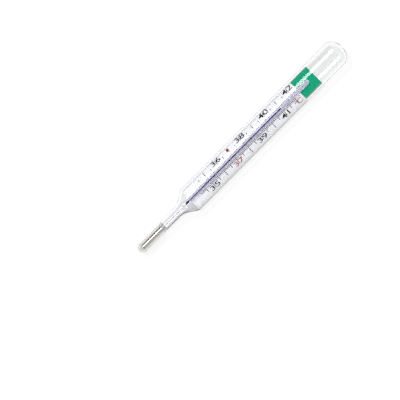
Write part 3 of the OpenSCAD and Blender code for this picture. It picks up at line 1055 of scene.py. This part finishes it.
def studio_world(stage):
    """Studio that is white round the horizon and at its ends and dim overhead, on a white background."""
    world = bpy.data.worlds.new("studio")
    world.use_nodes = True
    tree = world.node_tree
    tree.nodes.clear()
    result = tree.nodes.new("ShaderNodeOutputWorld")
    where = tree.nodes.new("ShaderNodeTexCoord")
    split = tree.nodes.new("ShaderNodeSeparateXYZ")
    fade = soft_range(tree, HORIZON, OVERHEAD, start=1.0, end=stage.ceiling)
    along = add_node(tree, "ShaderNodeMath", operation="ABSOLUTE")
    ends = soft_range(tree, MIDDLE, ENDS)
    light = add_node(tree, "ShaderNodeMath", operation="MAXIMUM")
    room = tree.nodes.new("ShaderNodeBackground")
    white = add_node(tree, "ShaderNodeBackground", Color=(1, 1, 1, 1))
    path = tree.nodes.new("ShaderNodeLightPath")
    mix = tree.nodes.new("ShaderNodeMixShader")
    wire(
        tree,
        (where, "Generated", split, "Vector"),
        (split, "Z", fade, "Value"),
        (split, "X", along, 0),
        (along, "Value", ends, "Value"),
        (fade, "Result", light, 0),
        (ends, "Result", light, 1),
        (light, "Value", room, "Strength"),
        (path, "Is Camera Ray", mix, 0),
        (room, "Background", mix, 1),
        (white, "Background", mix, 2),
        (mix, "Shader", result, "Surface"),
    )
    return world


def add_card(name, tint, near, far, x_low, x_high, near_level, far_level):
    """A flat card along X that fades from one (y, z) line to another, and that only mirrors and glass see."""
    card = draw_profile(name, [Vector((x_low, *near)), Vector((x_low, *far))])
    bpy.ops.mesh.extrude_edges_move(TRANSFORM_OT_translate={"value": (x_high - x_low, 0, 0)})
    bpy.ops.object.mode_set(mode="OBJECT")
    material, tree, result = new_material(name)
    where = tree.nodes.new("ShaderNodeTexCoord")
    split = tree.nodes.new("ShaderNodeSeparateXYZ")
    limits = {"From Min": near[0], "From Max": far[0], "To Min": near_level, "To Max": far_level}
    fade = add_node(tree, "ShaderNodeMapRange", **limits)
    glow = add_node(tree, "ShaderNodeEmission", Color=tint)
    wire(
        tree,
        (where, "Object", split, "Vector"),
        (split, "Y", fade, "Value"),
        (fade, "Result", glow, "Strength"),
        (glow, "Emission", result, "Surface"),
    )
    card.data.materials.append(material)
    card.visible_camera = False
    card.visible_diffuse = False
    card.visible_shadow = False


def add_lamp(name, shape, location, turn, sides, power):
    """Adds an area lamp, turned about the thermometer's axis, that the camera doesn't see."""
    bpy.ops.object.light_add(type="AREA", location=location, rotation=(turn, 0, 0))
    lamp = bpy.context.object
    lamp.name = name
    lamp.data.shape = shape
    lamp.data.size, lamp.data.size_y = sides
    lamp.data.energy = power
    lamp.visible_camera = False
    return lamp


class THERMOMETER_OT_stage(bpy.types.Operator):
    """Set the camera over the scale, the lamps, the studio, the pale floor and the cards"""

    bl_idname = "thermometer.stage"
    bl_label = "Stage"

    def execute(self, context):
        scene = context.scene
        stage, finish = scene.thermometer_stage, scene.thermometer_finish
        scene.view_settings.view_transform = "Standard"
        pick()
        bpy.ops.object.camera_add(
            location=(stage.view_x, stage.view_y, PLATE_HIGH.z + stage.view_height),
            rotation=(0, 0, stage.view_turn),
        )
        camera = bpy.context.object
        camera.name = "camera"
        camera.data.lens = stage.lens
        scene.camera = camera

        width = stage.lamp_far - stage.lamp_near
        y_lamp = (stage.lamp_near + stage.lamp_far) / 2
        over = (0, y_lamp, PLATE_HIGH.z + stage.lamp_height)
        power = stage.lamp_radiance * pi * stage.lamp_length * width
        add_lamp("softbox", "RECTANGLE", over, 0, (stage.lamp_length, width), power)

        away = Vector((0, sin(stage.key_angle), cos(stage.key_angle))) * stage.key_distance
        away.z += PLATE_HIGH.z
        power = stage.key_light / cos(stage.key_angle) * (pi * stage.key_distance) ** 2
        key = add_lamp("key", "DISK", away, -stage.key_angle, (stage.key_size, stage.key_size), power)
        key.visible_glossy = False
        key.visible_transmission = False

        scene.world = studio_world(stage)
        bpy.ops.mesh.primitive_plane_add(size=stage.floor_size, location=(0, 0, SHEATH_LOW.z - FLOOR_GAP))
        floor = name_piece("floor")
        floor.data.materials.append(floor_material(finish, stage))

        reach = stage.card_reach
        near, far = [(-reach * sin(a), reach * cos(a)) for a in (PALE_HIGH, PALE_LOW)]
        add_card(
            "pale_card", WARM_CARD, near, far, PALE_START, PALE_END, stage.card_white, stage.card_white
        )
        # Painted shade: three dark cards that only glass sees, putting dark lines and grey into the neck, the
        # shoulder and the sheath's lower side
        ground = SHEATH_LOW.z
        x_flare = PLATE_LOW.x - stage.flag_length
        add_card(
            "neck_painted_shade_card", COOL_SHADE_CARD, (-stage.line_near, ground), (-stage.line_far, ground + stage.line_rise),
            BULB_HIGH.x, x_flare, stage.line_level, stage.line_level,
        )
        add_card(
            "shoulder_painted_shade_card", COOL_SHADE_CARD, (-stage.flag_near, ground), (-stage.flag_far, ground),
            x_flare, PLATE_LOW.x, stage.glass_glow, stage.card_dark,
        )
        add_card(
            "side_painted_shade_card", COOL_SHADE_CARD, (SHEATH_LOW.y, ground), (-stage.flag_far, ground),
            PLATE_LOW.x, BAND_LOW.x, stage.card_grey, stage.card_grey,
        )
        return {"FINISHED"}


class THERMOMETER_PT_panel(bpy.types.Panel):
    """Lists the steps that dress the thermometer"""

    bl_label = "Thermometer"
    bl_idname = "THERMOMETER_PT_panel"
    bl_space_type = "VIEW_3D"
    bl_region_type = "UI"
    bl_category = "Thermometer"

    def draw(self, context):
        for group in GROUPS:
            box = self.layout.box()
            box.label(text=group)
            settings = getattr(context.scene, group)
            for name in settings.bl_rna.properties.keys():
                if name not in ("rna_type", "name"):
                    box.prop(settings, name)
        for operator in OPERATORS:
            self.layout.operator(operator.bl_idname)


GROUPS = {
    "thermometer_glass": GlassSizes,
    "thermometer_scale": ScaleSizes,
    "thermometer_finish": Finishes,
    "thermometer_stage": StageSettings,
}
OPERATORS = (
    THERMOMETER_OT_stage,
    THERMOMETER_OT_sheath,
    THERMOMETER_OT_bulb,
    THERMOMETER_OT_stem,
    THERMOMETER_OT_capillary,
    THERMOMETER_OT_thread,
    THERMOMETER_OT_plate,
    THERMOMETER_OT_lines,
    THERMOMETER_OT_figures,
    THERMOMETER_OT_band,
)


def register():
    for group in GROUPS.values():
        bpy.utils.register_class(group)
    for name, group in GROUPS.items():
        setattr(bpy.types.Scene, name, bpy.props.PointerProperty(type=group))
    for operator in OPERATORS:
        bpy.utils.register_class(operator)
    bpy.utils.register_class(THERMOMETER_PT_panel)


def unregister():
    bpy.utils.unregister_class(THERMOMETER_PT_panel)
    for operator in reversed(OPERATORS):
        bpy.utils.unregister_class(operator)
    for name, group in GROUPS.items():
        delattr(bpy.types.Scene, name)
        bpy.utils.unregister_class(group)


def main():
    register()
    bpy.ops.thermometer.stage()
    bpy.ops.thermometer.sheath()
    bpy.ops.thermometer.bulb()
    bpy.ops.thermometer.stem()
    bpy.ops.thermometer.capillary()
    bpy.ops.thermometer.thread()
    bpy.ops.thermometer.plate()
    bpy.ops.thermometer.lines()
    bpy.ops.thermometer.figures()
    bpy.ops.thermometer.band()


if __name__ == "__main__":
    main()
